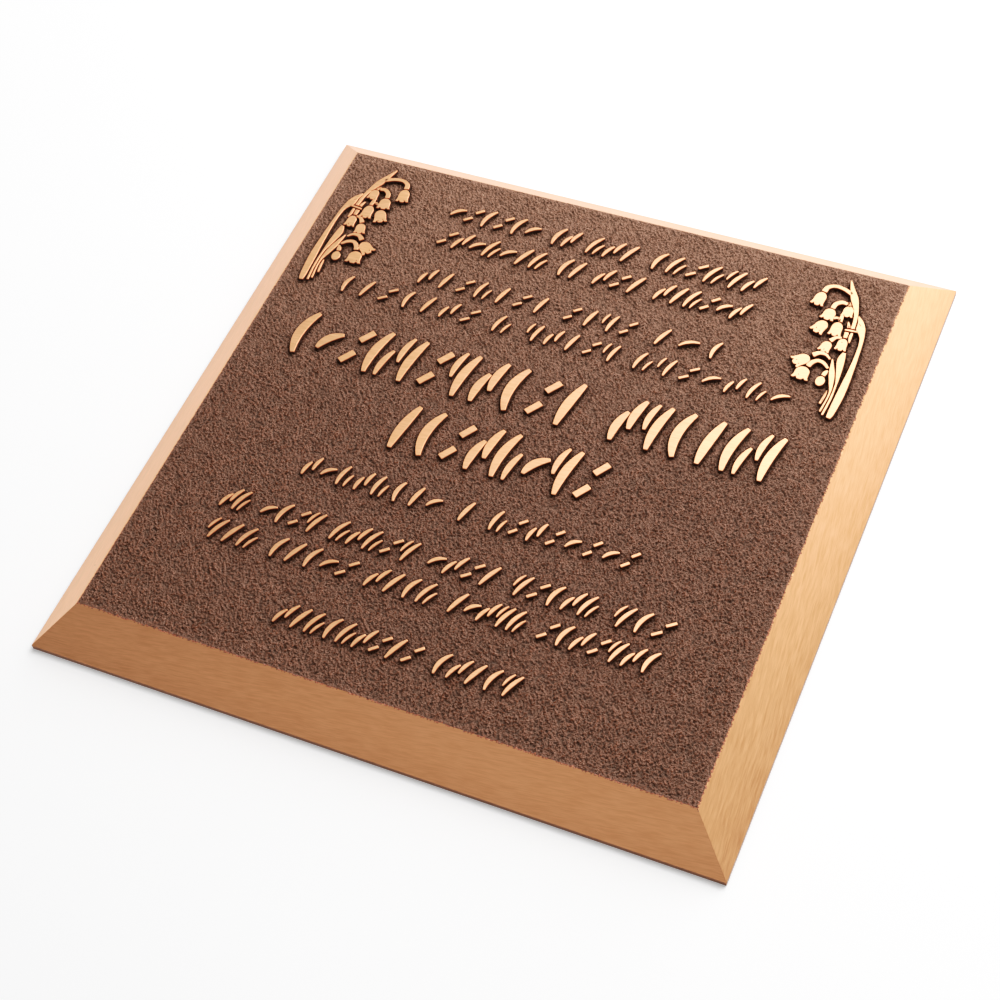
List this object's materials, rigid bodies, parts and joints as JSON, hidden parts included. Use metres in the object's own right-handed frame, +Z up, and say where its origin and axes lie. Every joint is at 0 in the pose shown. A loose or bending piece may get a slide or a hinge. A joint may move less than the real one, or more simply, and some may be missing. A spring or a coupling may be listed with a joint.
{
  "type": "flat grave marker",
  "caption": "Square flat bronze grave marker with bevelled sides, a hollow back, raised rows of abstract strokes and lily of the valley sprays.",
  "frame": {"origin": "centre of the underside, level with the rim that the marker rests on", "axes": "+Z up out of the face, +X along the rows of strokes, +Y from the foot of the marker to its head"},
  "size_m": [0.38, 0.38, 0.0258],
  "materials": {
    "patinated_bronze": "brown patina on a pebbled ground, with the bevel and the faces of the relief ground bright and satin"
  },
  "bodies": {
    "root": {"cast_bronze_plaque": "patinated_bronze"}
  },
  "joints": []
}
